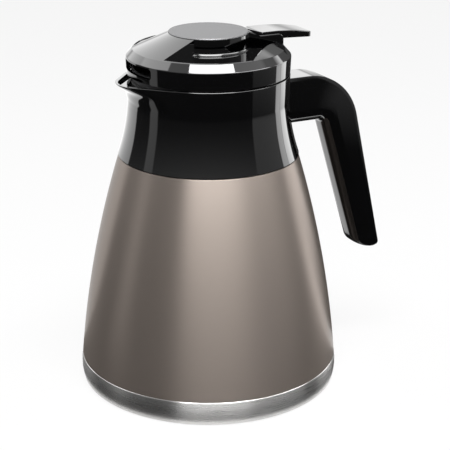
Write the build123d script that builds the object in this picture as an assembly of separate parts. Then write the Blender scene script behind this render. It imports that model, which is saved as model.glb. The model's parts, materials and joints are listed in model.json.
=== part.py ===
from build123d import *
import math
import os

# Thermal carafe with a screw-in pouring lid and a thumb lever.
# Lengths are in millimetres and angles in degrees.
# The axis of the carafe is Z and it stands on Z = 0.
# The handle is on +X and the spout on -X.
# Heights of the upper pieces stack up from the body, and are worked out below.

# Clearances
seam_gap = 0.05
running_gap = 0.05
moving_gap = 0.3

# Steel body
shell_wall = 1.0
body_low_radius = 79.0
body_top_height = 142.2
body_bulge = 3.3
body_edge = 0.7
vacuum_gap = 7.0
shoulder_width = 3.5
neck_step_width = 5.5
neck_step_rise = 8.1
neck_radius = 39.0
neck_length = 16.0

# Inner flask
liner_wall = 0.9
floor_gap = 5.8
liner_corner = 9.0
liner_shoulder_drop = 9.2
liner_shoulder_rise = 11.0
neck_vacuum_gap = 1.1

# Foot
band_height = 15.2
band_lift = 0.6
band_wall = 1.0
band_lip = 2.0
band_tuck = 0.5
band_swell = 0.4
band_swell_height = 6.0
band_stand = 0.1
closing_disc_rim = 3.0
seal_cap_radius = 9.0
seal_cap_height = 1.0
getter_radius = 7.0
getter_height = 1.2
getter_reach = 18.0
cover_lift = 1.2
cover_thickness = 1.8
cover_pad_radius = 14.0
cover_rib_height = 1.2
cover_rib_width = 3.0
cover_rib_setback = 1.95
foot_ring_setback = 7.95
foot_ring_width = 8.0
foot_ring_height = 2.2
foot_ring_edge = 0.4

# Collar
gasket_thickness = 0.8
gasket_inset = 1.4
collar_wall = 2.4
flare_height = 31.3
flare_width = 6.3
flare_sag = 1.06
rim_rise = 16.9
rim_flare = 0.4
rim_edge = 0.7
low_ledge = 2.5
high_ledge = 2.5
ledge_width = 4.0
ledge_clearance = 1.0

# Spout: depths below the rim, each with how far the keel stands out from the collar there
spout_keel = ((0.0, 9.7), (1.8, 9.05), (3.9, 6.4), (6.0, 3.45), (8.6, 1.6), (14.0, -0.1))
spout_root_angle = 40.8
spout_drop = 0.9
spout_lip = 1.5
spout_sink = 0.3
trough_depth = 1.6

# Neck fittings
clamp_height = 5.5
clamp_width = 5.0
clamp_notches = 6
clamp_notch_width = 5.0
clamp_notch_depth = 2.0
clamp_notch_floor = 1.5
mouth_gasket_thickness = 1.0
insert_wall = 2.2
insert_foot = 1.0
insert_drop = 2.9
insert_flange = 2.0
insert_screw_count = 3
insert_screw_angle = 60.0
insert_screw_radius = 0.9
insert_screw_head = 1.8
insert_screw_countersink = 0.9
insert_screw_bite = 2.0

# Screw thread between the lid and the neck
thread_starts = 3
thread_lead = 24.0
thread_angle = 70.0
thread_height = 2.0
thread_depth = 1.8
thread_drop = 9.5
thread_root = 0.5

# Stopper
stopper_wall = 2.2
stopper_floor = 2.5
stopper_corner = 3.0
stopper_step_rise = 2.9
stopper_setback = 2.6
seat_radius = 22.0
groove_drop = 9.0
groove_rise = 6.0
groove_flange = 1.5
groove_flange_gap = 0.8
seal_ring_height = 5.8
seal_ring_lip = 0.8
stopper_flange = 2.2
dam_wall = 1.5
dam_gap = 0.8

# Lid
lid_gap = 0.8
lid_wall = 2.0
lid_overhang = 0.3
skirt_taper = 0.4
skirt_height = 10.3
chamfer_rise = 4.3
chamfer_width = 3.9
hub_radius = 23.4
hub_rise = 9.7
disc_thickness = 0.8
disc_overhang = 0.1
disc_edge = 0.4
disc_spigot = 0.8
lid_floor_wall = 1.2
slot_half_angle = 22.0
slot_rise = 3.5
slot_height = 6.0
slot_corner = 1.6
slot_reach = 16.0
post_setback = 5.4
post_radius = 3.2
post_angles = (50.0, 130.0, 230.0, 310.0)
post_screw_radius = 1.2
post_screw_length = 9.0
post_screw_head = 2.6
post_screw_head_height = 1.0

# Finger scoops, one on each side of the lid
scoop_rim = 1.2
scoop_rise = 1.7
scoop_drop = 1.7
scoop_front_inner = (-16.4, 16.3)
scoop_front_outer = (-38.0, 21.2)
scoop_rear_outer = (6.5, 42.9)
scoop_rear_reach = 42.4

# Lever and its housing, with heights as depths below the top of the hub
lever_gap = 0.5
lever_half_width = 10.0
lever_apex_half_width = 1.2
lever_apex_thickness = 4.0
lever_nose = 6.5
lever_pivot_setback = 13.0
lever_crest_reach = 4.0
lever_crest_drop = 1.3
lever_bend_reach = 12.0
lever_bend_drop = 2.1
lever_tip_reach = 11.0
lever_tip_drop = 3.9
lever_tip_thickness = 3.1
lever_heel_gap = 2.8
lever_underside_drop = 6.2
lever_corner = 2.5
housing_wall = 1.8
housing_roof = 3.0
housing_drop = 2.7
housing_setback = 1.0
housing_corner = 3.5
pivot_drop = 7.8
pin_radius = 1.5
pin_bite = 1.2
boss_radius = 3.2
arm_half_width = 5.0
arm_thickness = 2.6
arm_overrun = 3.0
riser_length = 8.0

# Valve
stem_radius = 2.0
stem_head_radius = 4.5
stem_head_height = 1.5
fork_gap = 0.4
guide_radius = 5.0
guide_length = 7.4
stem_seal_width = 1.2
spring_length = 25.0
spring_radius = 4.3
spring_wire = 0.9
spring_turns = 7
clip_radius = 6.0
clip_height = 1.2
seat_lap = 4.0
plug_height = 2.4
plug_hub_radius = 4.5
plug_hub_height = 4.0
plug_seal_height = 1.1
plug_seal_width = 7.0

# Handle
handle_width = 21.0
handle_drop = 6.9
arm_depth = 29.7
grip_length = 87.8
grip_depth = 16.5
grip_lean = 26.7
hand_gap = 20.8
handle_crown = 36.0
handle_heel = 2.0
handle_toe = 9.5
handle_throat = 4.0
handle_crest_drop = 2.3
handle_crest_width = 1.0
handle_nose = 8.5
handle_wall = 2.4
handle_parting = 9.0
handle_end = 14.0
handle_end_wall = 5.1
bracket_width = 11.0
bracket_thickness = 3.0
bracket_bend = 6.0
bracket_foot_drop = 4.0
bracket_foot_length = 16.0
bracket_arm_drop = 11.7
bracket_end_rise = 16.5
bracket_screw_drops = (16.4, 7.0)
bracket_screw_radius = 1.8
bracket_screw_head = 3.2
bracket_screw_head_height = 2.0
bracket_screw_pad = 4.0
bracket_screw_pad_height = 0.4
cover_screw_rises = (72.5, 26.5)
cover_screw_radius = 1.2
cover_screw_head = 2.5
cover_screw_head_height = 1.4
cover_screw_recess = 2.0
cover_tower_wall = 1.4
driver_slot_width = 0.7


def circle_of_arc(first, last, bulge):
    """Centre and radius of an arc that stands off its chord by a bulge, outwards where it is positive."""
    (x0, y0), (x1, y1) = first, last
    chord = math.hypot(x1 - x0, y1 - y0)
    radius = (chord**2 / 4 + bulge**2) / (2 * abs(bulge))
    offset = bulge - math.copysign(radius, bulge)
    return (x0 + x1) / 2 + (y1 - y0) / chord * offset, (y0 + y1) / 2 - (x1 - x0) / chord * offset, radius


# Radii that follow from the neck outwards to the top of the body
insert_bore = neck_radius - moving_gap
high_ledge_radius = insert_bore + insert_wall + ledge_clearance
rim_bore = high_ledge_radius + ledge_width
rim_radius = rim_bore + collar_wall
waist_radius = rim_radius - rim_flare
body_top_radius = waist_radius + flare_width

# Sizes that follow for the body, its foot and the inner flask
foot_radius = body_low_radius - band_wall - seam_gap
cover_radius = foot_radius - band_lip
cover_rib_outer = cover_radius - cover_rib_setback
cover_rib_inner = cover_rib_outer - cover_rib_width
foot_ring_outer = cover_radius - foot_ring_setback
foot_ring_inner = foot_ring_outer - foot_ring_width
closing_disc_height = cover_lift + cover_thickness + cover_rib_height
shoulder_height = body_top_height + body_edge
shoulder_radius = body_top_radius - body_edge - shoulder_width
neck_step_height = shoulder_height + neck_step_rise
neck_step_radius = neck_radius + neck_step_width
mouth_height = neck_step_height + neck_length
mouth_top = mouth_height + liner_wall
mouth_radius = neck_radius - shell_wall - neck_vacuum_gap - liner_wall
liner_floor_height = closing_disc_height + shell_wall + floor_gap
liner_shoulder_height = body_top_height - liner_shoulder_drop
liner_neck_height = liner_shoulder_height + liner_shoulder_rise

# Sizes that follow for the collar and the neck insert
collar_low = shoulder_height + gasket_thickness
waist_height = collar_low + flare_height
rim_height = waist_height + rim_rise
spout_reach = rim_radius + spout_keel[0][1]
insert_top_height = rim_height - insert_drop
ledge_top = insert_top_height - insert_flange
high_ledge_height = ledge_top - high_ledge
insert_low = mouth_top + mouth_gasket_thickness
insert_screw_circle = (high_ledge_radius + rim_bore) / 2
thread_low = ledge_top - thread_drop
neck_thread_crest = insert_bore - thread_depth
clamp_radius = neck_radius + clamp_width

# Sizes that follow for the lid and the stopper
skirt_low = rim_height + lid_gap
chamfer_low = skirt_low + skirt_height
chamfer_high = chamfer_low + chamfer_rise
disc_height = chamfer_high + hub_rise
disc_low = disc_height - disc_thickness
disc_radius = hub_radius + disc_overhang
lid_radius = rim_radius + lid_overhang
skirt_radius = lid_radius - skirt_taper
crown_radius = lid_radius - chamfer_width
scoop_high = chamfer_high + scoop_rise
scoop_low = chamfer_high - scoop_drop
lid_roof = scoop_low - lid_wall
lid_floor_low = lid_roof - lid_floor_wall
slot_low = skirt_low + slot_rise
slot_high = slot_low + slot_height
stopper_flange_radius = skirt_radius - lid_wall - dam_gap
stopper_flange_low = insert_top_height + moving_gap
stopper_flange_top = stopper_flange_low + stopper_flange
stopper_high_radius = neck_thread_crest - 2 * moving_gap
stopper_thread_crest = stopper_high_radius + thread_depth
stopper_step = insert_low + insert_foot + moving_gap
stopper_low_radius = mouth_radius - stopper_setback
groove_flange_radius = mouth_radius - groove_flange_gap
groove_low = mouth_height - groove_drop
groove_high = groove_low + seal_ring_height + 2 * running_gap
stopper_bottom = groove_low - groove_rise
seat_height = stopper_bottom + stopper_floor
post_circle = stopper_flange_radius - post_setback

# Sizes that follow for the lever and the valve
lever_apex = disc_radius + lever_gap
lever_shoulder = lever_apex + lever_nose
pivot_reach = lever_apex + lever_pivot_setback
pivot_height = disc_low - pivot_drop
lever_crest = pivot_reach + lever_crest_reach
lever_bend = lever_crest + lever_bend_reach
lever_tip = lever_bend + lever_tip_reach
lever_tip_top = disc_low - lever_tip_drop
lever_underside = disc_low - lever_underside_drop
housing_back = crown_radius - housing_setback
housing_top = disc_low - housing_drop
deck_height = housing_top - housing_roof
lever_heel = housing_back + lever_heel_gap
housing_inner = lever_half_width + moving_gap
housing_outer = housing_inner + housing_wall
pin_half_length = housing_inner + pin_bite
arm_bottom = lid_roof + moving_gap
stem_head_low = arm_bottom + arm_thickness + 2 * moving_gap
guide_low = lid_floor_low - guide_length
spring_low = guide_low - spring_length
plug_radius = seat_radius + seat_lap
plug_low = seat_height + moving_gap + plug_seal_height

# Sizes that follow for the handle
handle_top = rim_height - handle_drop
handle_underside = handle_top - arm_depth
handle_low = handle_underside - grip_length
handle_front_top = body_top_radius + hand_gap
handle_back_top = handle_front_top + grip_depth
handle_back_low = handle_back_top + grip_lean
handle_seat = waist_radius + handle_end_wall
front_slope = grip_lean / (handle_underside - handle_low)
back_slope = grip_lean / (handle_top - handle_low)
bracket_foot_high = handle_top - bracket_foot_drop
bracket_foot_low = bracket_foot_high - bracket_foot_length
bracket_arm_height = handle_top - bracket_arm_drop
bracket_low = handle_low + bracket_end_rise
bracket_screw_heights = [handle_top - drop for drop in bracket_screw_drops]
cover_screw_heights = [handle_low + rise for rise in cover_screw_rises]
screw_seat = waist_radius - collar_wall - bracket_screw_pad_height

# Circles of the body's side and of the collar's flare: centre in radius and height, and radius
side_circle = circle_of_arc((body_low_radius, band_height), (body_top_radius, body_top_height), body_bulge)
flare_circle = circle_of_arc((body_top_radius, collar_low), (waist_radius, waist_height), -flare_sag)


def turned(edges):
    """Body of revolution about Z from a closed outline in radius and height."""
    return revolve(Plane.XZ * make_face(edges), Axis.Z)


def turned_ring(*points):
    """Body of revolution from straight-sided outline points, each a radius and a height."""
    return turned(Polyline(*points, close=True).edges())


def plate(outline, half_width):
    """Flat piece with an outline in X and Z, half the width to each side of the middle."""
    return extrude(Plane.XZ * make_face(outline.edges()), half_width, both=True)


def rod(radius, low, high, x=0.0):
    """Upright round rod."""
    return Pos(x, 0, low) * Cylinder(radius, high - low, align=(Align.CENTER, Align.CENTER, Align.MIN))


def cross_rod(radius, half_length):
    """Round rod along Y on the lever's pivot."""
    return Pos(pivot_reach, 0, pivot_height) * Rot(90, 0, 0) * Cylinder(radius, 2 * half_length)


def block(x_range, y_range, z_range):
    """Box between two corners."""
    size = [high - low for low, high in (x_range, y_range, z_range)]
    centre = [(high + low) / 2 for low, high in (x_range, y_range, z_range)]
    return Pos(*centre) * Box(*size)


def spaced(count, first=0.0):
    """Placements turned about Z by equal angles."""
    return [Rot(0, 0, first + 360 / count * index) for index in range(count)]


def side_point(height, inset=0.0):
    """Point on the body's side curve at a height, moved square to the curve by the inset."""
    centre, middle, curve = side_circle
    return centre + math.sqrt((curve - inset) ** 2 - (height - middle) ** 2), height


def side_arc(low, high, inset=0.0):
    """Part of the body's side curve between two heights."""
    middle = (low + high) / 2
    return ThreePointArc(side_point(low, inset), side_point(middle, inset), side_point(high, inset))


def make_outer_shell():
    """Outer steel wall: lacquered side, shoulder and neck, drawn in below for the band."""
    wall = shell_wall
    step = band_height + seam_gap
    low = band_lift + band_wall + seam_gap
    side = side_arc(step, body_top_height)
    inside = side_arc(step + wall, body_top_height - wall, wall)
    outline = Curve() + [
        side,
        Polyline(side @ 1, (body_top_radius - body_edge, shoulder_height), (shoulder_radius, shoulder_height),
                 (neck_step_radius, neck_step_height), (neck_radius, neck_step_height),
                 (neck_radius, mouth_height), (neck_radius - wall, mouth_height),
                 (neck_radius - wall, neck_step_height - wall),
                 (neck_step_radius - wall, neck_step_height - wall),
                 (shoulder_radius - wall, shoulder_height - wall), inside @ 1),
        inside,
        Polyline(inside @ 0, (foot_radius - wall, step + wall), (foot_radius - wall, low), (foot_radius, low),
                 (foot_radius, step), side @ 0),
    ]
    return turned(outline.edges())


def make_base_band():
    """Brushed steel band round the foot, with a lip turned in under the base."""
    inner = foot_radius + seam_gap
    outside = ThreePointArc((body_low_radius - band_tuck, band_lift),
                            (body_low_radius + band_swell, band_swell_height),
                            (body_low_radius + band_stand, band_height))
    outline = Curve() + [
        outside,
        Polyline(outside @ 1, (inner, band_height), (inner, band_lift + band_wall),
                 (inner - band_lip, band_lift + band_wall), (inner - band_lip, band_lift), outside @ 0),
    ]
    return turned(outline.edges())


def make_closing_disc():
    """Steel disc with an upright rim, welded into the foot to close the vacuum space."""
    edge = foot_radius - shell_wall
    low = closing_disc_height
    rim = low + closing_disc_rim
    floor = low + shell_wall
    inner = edge - shell_wall
    return turned_ring((0, low), (edge, low), (edge, rim), (inner, rim), (inner, floor), (0, floor))


def make_vacuum_seal():
    """Small cap over the evacuation hole, under the closing disc."""
    return rod(seal_cap_radius, closing_disc_height - seal_cap_height, closing_disc_height)


def make_getter_disc():
    """Getter pellet that keeps the vacuum, on top of the closing disc."""
    low = closing_disc_height + shell_wall
    return rod(getter_radius, low, low + getter_height, x=getter_reach)


def make_base_cover():
    """Plastic cover under the body: a centre pad to stand on, a groove for the foot ring and a rib."""
    top = cover_lift + cover_thickness
    cover = rod(cover_radius, cover_lift, top) + rod(cover_pad_radius, 0, cover_lift)
    groove = turned_ring((foot_ring_inner, 0), (foot_ring_outer, 0), (foot_ring_outer, foot_ring_height),
                         (foot_ring_inner, foot_ring_height))
    rib = turned_ring((cover_rib_inner, top), (cover_rib_outer, top), (cover_rib_outer, closing_disc_height),
                      (cover_rib_inner, closing_disc_height))
    return cover - groove + rib


def make_foot_ring():
    """Rubber ring that the carafe stands on."""
    edge = foot_ring_edge
    return turned_ring((foot_ring_inner + edge, 0), (foot_ring_outer - edge, 0), (foot_ring_outer, edge),
                       (foot_ring_outer, foot_ring_height), (foot_ring_inner, foot_ring_height),
                       (foot_ring_inner, edge))


def liner_lines(inset):
    """Floor corner and side of the inner flask, moved inwards by the inset."""
    low = liner_floor_height + liner_corner
    side = side_arc(low, liner_shoulder_height, shell_wall + vacuum_gap + inset)
    end = side @ 0
    reach = liner_corner - inset
    floor = liner_floor_height + inset
    cut = reach * (1 - math.sqrt(0.5))
    corner = ThreePointArc((end.X - reach, floor), (end.X - cut, floor + cut), (end.X, end.Y))
    return corner, side


def make_inner_liner():
    """Inner steel flask: floor, side, shoulder and neck, folded over the mouth."""
    corner_out, side_out = liner_lines(0)
    corner_in, side_in = liner_lines(liner_wall)
    neck_out = mouth_radius + liner_wall
    outline = Curve() + [
        Line((0, liner_floor_height), corner_out @ 0),
        corner_out,
        side_out,
        Polyline(side_out @ 1, (neck_out, liner_neck_height), (neck_out, mouth_height),
                 (neck_radius, mouth_height), (neck_radius, mouth_top), (mouth_radius, mouth_top),
                 (mouth_radius, liner_neck_height - liner_wall / 2), side_in @ 1),
        side_in,
        corner_in,
        Polyline(corner_in @ 0, (0, liner_floor_height + liner_wall), (0, liner_floor_height)),
    ]
    return turned(outline.edges())


def make_collar_gasket():
    """Dark rubber ring in the groove between the steel body and the collar."""
    outer = body_top_radius - gasket_inset
    return turned_ring((shoulder_radius, shoulder_height), (outer, shoulder_height), (outer, collar_low),
                       (shoulder_radius, collar_low))


def collar_side(inset=0.0):
    """Flare of the collar from its foot to its waist."""
    middle = (collar_low + waist_height) / 2
    return ThreePointArc((body_top_radius - inset, collar_low), (collar_radius(middle) - inset, middle),
                         (waist_radius - inset, waist_height))


def collar_radius(height):
    """Outer radius of the collar at a height on its flare or above its waist."""
    centre, middle, curve = flare_circle
    if height < waist_height:
        return centre - math.sqrt(curve**2 - (height - middle) ** 2)
    return waist_radius + (rim_radius - waist_radius) * (height - waist_height) / rim_rise


def collar_solid():
    """Full round form of the collar, without its hollow."""
    flare = collar_side()
    outline = Curve() + [
        flare,
        Polyline(flare @ 1, (rim_radius, rim_height - rim_edge), (rim_radius - rim_edge, rim_height),
                 (0, rim_height), (0, collar_low), flare @ 0),
    ]
    return turned(outline.edges())


def spout_plan(reach, root, height):
    """Face of the spout at one height: tangents to the collar that run into a round nose."""
    angle = math.radians(spout_root_angle)
    spread = 1 / math.cos(angle)
    nose = (root * spread - reach) / (spread - 1)
    root_x, root_y = -root * math.cos(angle), root * math.sin(angle)
    nose_x, nose_y = nose - reach - nose * math.cos(angle), nose * math.sin(angle)
    outline = Curve() + [
        Polyline((-root / 2, root_y), (root_x, root_y), (nose_x, nose_y)),
        ThreePointArc((nose_x, nose_y), (-reach, 0), (nose_x, -nose_y)),
        Polyline((nose_x, -nose_y), (root_x, -root_y), (-root / 2, -root_y), (-root / 2, root_y)),
    ]
    return Pos(0, 0, height) * make_face(outline.edges())


def make_spout():
    """Solid beak that flares out of the collar up to the rim, with a lip that drops to its tip."""
    sections = []
    for depth, stand in spout_keel:
        height = rim_height - depth
        face = collar_radius(height)
        sections.append(spout_plan(face + stand, face - spout_sink, height))
    far = spout_reach + spout_lip
    above = Polyline((-spout_reach / 2, rim_height), (-far, rim_height - spout_drop),
                     (-far, rim_height + spout_drop), (-spout_reach / 2, rim_height + spout_drop), close=True)
    return loft(sections, ruled=True) - plate(above, rim_radius)


def bracket_screw_places():
    """Placements of the bracket screws, with Z outwards through the collar's wall."""
    return [Pos(0, 0, height) * Rot(0, 90, 0) for height in bracket_screw_heights]


def make_collar():
    """Gloss collar round the neck: flared wall, two inner ledges, screw pads, the spout and its trough."""
    inside = collar_side(collar_wall)
    hollow = Curve() + [
        inside,
        Polyline(inside @ 1, (rim_bore, ledge_top), (rim_bore, rim_height), (0, rim_height), (0, collar_low),
                 inside @ 0),
    ]
    trough_floor = rim_height - spout_drop - trough_depth
    trough = spout_plan(spout_reach - spout_lip, rim_radius - spout_lip, trough_floor)
    collar = collar_solid() + make_spout() - extrude(trough, 2 * trough_depth) - turned(hollow.edges())
    for low, high, inner in ((neck_step_height, neck_step_height + low_ledge, neck_radius + seam_gap),
                             (high_ledge_height, ledge_top, high_ledge_radius)):
        outer = collar_radius(low) - collar_wall / 2
        collar += turned_ring((inner, low), (outer, low), (outer, high), (inner, high))
    for place, height in zip(bracket_screw_places(), bracket_screw_heights):
        collar += place * rod(bracket_screw_pad, screw_seat, collar_radius(height) - collar_wall / 2)
        collar -= place * rod(bracket_screw_radius + seam_gap, 0, handle_seat)
    for turn in spaced(insert_screw_count, insert_screw_angle):
        hole = rod(insert_screw_radius, ledge_top - insert_screw_bite, ledge_top, x=insert_screw_circle)
        collar -= turn * hole
    return collar


def make_clamp_ring():
    """Ring nut on the steel neck that holds the collar down, with notches for a pin spanner."""
    low = neck_step_height + low_ledge
    high = low + clamp_height
    inner = neck_radius + seam_gap
    ring = turned_ring((inner, low), (clamp_radius, low), (clamp_radius, high), (inner, high))
    half = clamp_notch_width / 2
    for turn in spaced(clamp_notches):
        notch = block((clamp_radius - clamp_notch_depth, clamp_radius + clamp_notch_depth), (-half, half),
                      (low + clamp_notch_floor, high))
        ring -= turn * notch
    return ring


def make_mouth_gasket():
    """Flat silicone ring between the steel mouth and the neck insert."""
    inner = mouth_radius + moving_gap
    return turned_ring((inner, mouth_top), (neck_radius, mouth_top), (neck_radius, insert_low),
                       (inner, insert_low))


def thread_ridge(inner, outer, low):
    """One helical ridge of the screw thread, of rectangular section, that starts at +X."""
    rise = thread_lead * thread_angle / 360
    path = Helix(pitch=thread_lead, height=rise, radius=(inner + outer) / 2,
                 center=(0, 0, low + thread_height / 2))
    start = Plane(origin=path @ 0, x_dir=(1, 0, 0), z_dir=path % 0)
    return sweep(start * Rectangle(outer - inner, thread_height), path=path, is_frenet=True)


def insert_screw_cone(grow=0.0):
    """Countersunk head of an insert screw, flush with the flange."""
    low = insert_top_height - insert_screw_countersink
    return Pos(insert_screw_circle, 0, low) * Cone(
        insert_screw_radius + grow, insert_screw_head + grow, insert_screw_countersink,
        align=(Align.CENTER, Align.CENTER, Align.MIN))


def make_neck_insert():
    """Plastic sleeve in the neck with the inner thread and a flange on the collar's ledge."""
    outer = insert_bore + insert_wall
    edge = rim_bore - seam_gap
    foot = mouth_radius + moving_gap
    foot_top = insert_low + insert_foot
    insert = turned_ring((foot, insert_low), (outer, insert_low), (outer, ledge_top), (edge, ledge_top),
                         (edge, insert_top_height), (insert_bore, insert_top_height), (insert_bore, foot_top),
                         (foot, foot_top))
    ridge = thread_ridge(neck_thread_crest, insert_bore + thread_root, thread_low)
    for turn in spaced(thread_starts):
        insert += turn * ridge
    hole = rod(insert_screw_radius + seam_gap, ledge_top, insert_top_height, x=insert_screw_circle)
    for turn in spaced(insert_screw_count, insert_screw_angle):
        insert -= turn * (hole + insert_screw_cone(seam_gap))
    return insert


def make_insert_screws():
    """Countersunk screws that hold the insert on the collar's ledge."""
    low = ledge_top - insert_screw_bite + seam_gap
    shank = rod(insert_screw_radius - seam_gap, low, insert_top_height - insert_screw_countersink,
                x=insert_screw_circle)
    screw = shank + insert_screw_cone()
    return Part() + [turn * screw for turn in spaced(insert_screw_count, insert_screw_angle)]


def front_at(height, depth=0.0):
    """Reach of the grip's front side at a height, moved into the grip by a depth."""
    return handle_front_top + front_slope * (handle_underside - height) + depth * math.hypot(1, front_slope)


def back_at(height, depth=0.0):
    """Reach of the grip's back side at a height, moved into the grip by a depth."""
    return handle_back_top + back_slope * (handle_top - height) - depth * math.hypot(1, back_slope)


def handle_profile(inset, front, back):
    """Side view of the handle, moved inwards all round by an inset and further at its front and back."""
    top = handle_top - inset - back
    under = handle_underside + inset + front
    low = handle_low + inset
    corners = [(0, top), (back_at(top, inset + back), top), (back_at(low, inset + back), low),
               (front_at(low, inset + front), low), (front_at(under, inset + front), under), (0, under)]
    face = make_face(Polyline(*corners, close=True).edges())
    radii = (handle_crown - inset - back, handle_heel, handle_toe - inset - front,
             handle_throat + inset + front)
    for corner, radius in zip(corners[1:5], radii):
        face = fillet(face.vertices().sort_by_distance((*corner, 0))[0], radius)
    return face


def handle_solid(inset=0.0, crest_drop=handle_crest_drop):
    """Handle from the axis outwards, with a round nose along its front and a bevel along its back."""
    half = handle_width / 2 - inset
    nose = handle_nose - inset
    sections = []
    for share in (1.0, 1 - handle_crest_width / nose, 0.65, 0.35, 0.0):
        front = nose * (1 - math.sqrt(1 - share**2))
        back = crest_drop if share == 1.0 else 0.0
        sections.append((half - nose * (1 - share), handle_profile(inset, front, back)))
    sides = [(-offset, face) for offset, face in sections] + sections[::-1]
    return loft([Plane.XZ.offset(offset) * face for offset, face in sides], ruled=True)


def handle_rear_zone():
    """Space behind the parting line between the handle's shell and its front cover."""
    split = handle_underside + handle_parting
    end = handle_low + handle_end
    near = front_at(end) - handle_nose
    far = handle_back_low + handle_width
    below = handle_low - handle_end
    above = handle_top + handle_end
    points = ((0, split), (front_at(split, handle_parting), split), (front_at(end, handle_parting), end),
              (near, end), (near, below), (far, below), (far, above), (0, above))
    return plate(Polyline(*points, close=True), handle_width)


def handle_walls():
    """Hollow handle, closed by an end wall against the collar."""
    beyond = block((handle_seat, handle_back_low), (-handle_width, handle_width), (handle_low, handle_top))
    return handle_solid() - (handle_solid(handle_wall, 0.0) & beyond) - collar_solid()


def make_handle_shell():
    """Back part of the handle: top, back and sides in one moulding, with the end wall on the collar."""
    shell = handle_walls() & handle_rear_zone()
    for place in bracket_screw_places():
        shell -= place * rod(bracket_screw_radius + seam_gap, 0, handle_seat)
    return shell


def cover_screw_places():
    """Placements of the cover screws on the grip's front, with Z outwards to the body."""
    return [Plane(origin=(front_at(height), 0, height), x_dir=(0, 1, 0), z_dir=(-1, 0, -front_slope))
            for height in cover_screw_heights]


def make_handle_cover():
    """Front cover that closes the handle, with a tower for each of its screws."""
    cover = handle_walls() - handle_rear_zone()
    tower = rod(cover_screw_head + cover_tower_wall, -handle_parting, 0)
    hole = rod(cover_screw_radius + seam_gap, -handle_parting, 0)
    recess = rod(cover_screw_head + running_gap, -cover_screw_recess, 0)
    full = handle_solid()
    for place in cover_screw_places():
        cover = cover + (place * tower & full) - place * hole - place * recess
    return cover


def make_cover_screws():
    """Pan-head screws of the handle's cover, with a driver slot."""
    end = handle_parting + bracket_thickness
    shank = rod(cover_screw_radius, -end, -cover_screw_recess)
    head = rod(cover_screw_head, -cover_screw_recess, cover_screw_head_height - cover_screw_recess)
    slot = block((-cover_screw_head, cover_screw_head), (-driver_slot_width / 2, driver_slot_width / 2),
                 (-cover_screw_recess + driver_slot_width, 0))
    return Part() + [place * (shank + head - slot) for place in cover_screw_places()]


def make_handle_bracket():
    """Steel strap in the handle: a foot on the end wall, an arm and a leg down the grip."""
    middle = handle_parting + bracket_thickness / 2
    foot_middle = handle_seat + bracket_thickness / 2
    route = FilletPolyline((foot_middle, bracket_arm_height),
                           (front_at(bracket_arm_height, middle), bracket_arm_height),
                           (front_at(bracket_low, middle), bracket_low), radius=bracket_bend)
    strap = extrude(Plane.XZ * trace(route, bracket_thickness), bracket_width / 2, both=True)
    strap += block((handle_seat, handle_seat + bracket_thickness), (-bracket_width / 2, bracket_width / 2),
                   (bracket_foot_low, bracket_foot_high))
    for place in bracket_screw_places():
        strap -= place * rod(bracket_screw_radius + seam_gap, handle_seat, handle_seat + bracket_thickness)
    for place in cover_screw_places():
        strap -= place * rod(cover_screw_radius + seam_gap, -2 * handle_parting, 0)
    return strap


def make_bracket_screws():
    """Screws from inside the collar, through the end wall, into the bracket's foot."""
    screw = rod(bracket_screw_head, screw_seat - bracket_screw_head_height, screw_seat)
    screw += rod(bracket_screw_radius, screw_seat, handle_seat + bracket_thickness)
    return Part() + [place * screw for place in bracket_screw_places()]


def make_scoop():
    """Cutter for the finger scoop on the +Y side, with a floor that falls from the hub to the rim."""
    (inner_x, inner_y), (outer_x, outer_y) = scoop_front_inner, scoop_front_outer
    far = 2 * lid_radius
    points = ((0, 0), (inner_x, inner_y), (2 * outer_x - inner_x, 2 * outer_y - inner_y),
              (2 * outer_x - inner_x, far), (scoop_rear_outer[0], far), scoop_rear_outer,
              (scoop_rear_reach, housing_outer), (0, housing_outer))
    ring = Circle(crown_radius - scoop_rim) - Circle(hub_radius)
    plan = make_face(Polyline(*points, close=True).edges()) & ring
    column = extrude(Pos(0, 0, lid_roof) * plan, disc_height - lid_roof)
    floor = turned_ring((0, lid_roof), (0, scoop_high), (hub_radius, scoop_high), (crown_radius, scoop_low),
                        (lid_radius, scoop_low), (lid_radius, lid_roof))
    return column - floor


def make_housing():
    """Raised housing on the lid with the lever between its cheeks."""
    face = make_face(Polyline((hub_radius - lid_wall, chamfer_low), (hub_radius - lid_wall, housing_top),
                              (housing_back, housing_top), (housing_back, chamfer_low), close=True).edges())
    face = fillet(face.vertices().sort_by_distance((housing_back, housing_top, 0))[0], housing_corner)
    return extrude(Plane.XZ * face, housing_outer, both=True)


def make_pour_slot():
    """Cutter for the slot in the skirt over the spout."""
    half = lid_radius * math.sin(math.radians(slot_half_angle))
    low = -lid_radius - lid_wall
    slot = block((low, low + slot_reach), (-half, half), (slot_low, slot_high))
    return fillet(slot.edges().filter_by(Axis.X), slot_corner)


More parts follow.
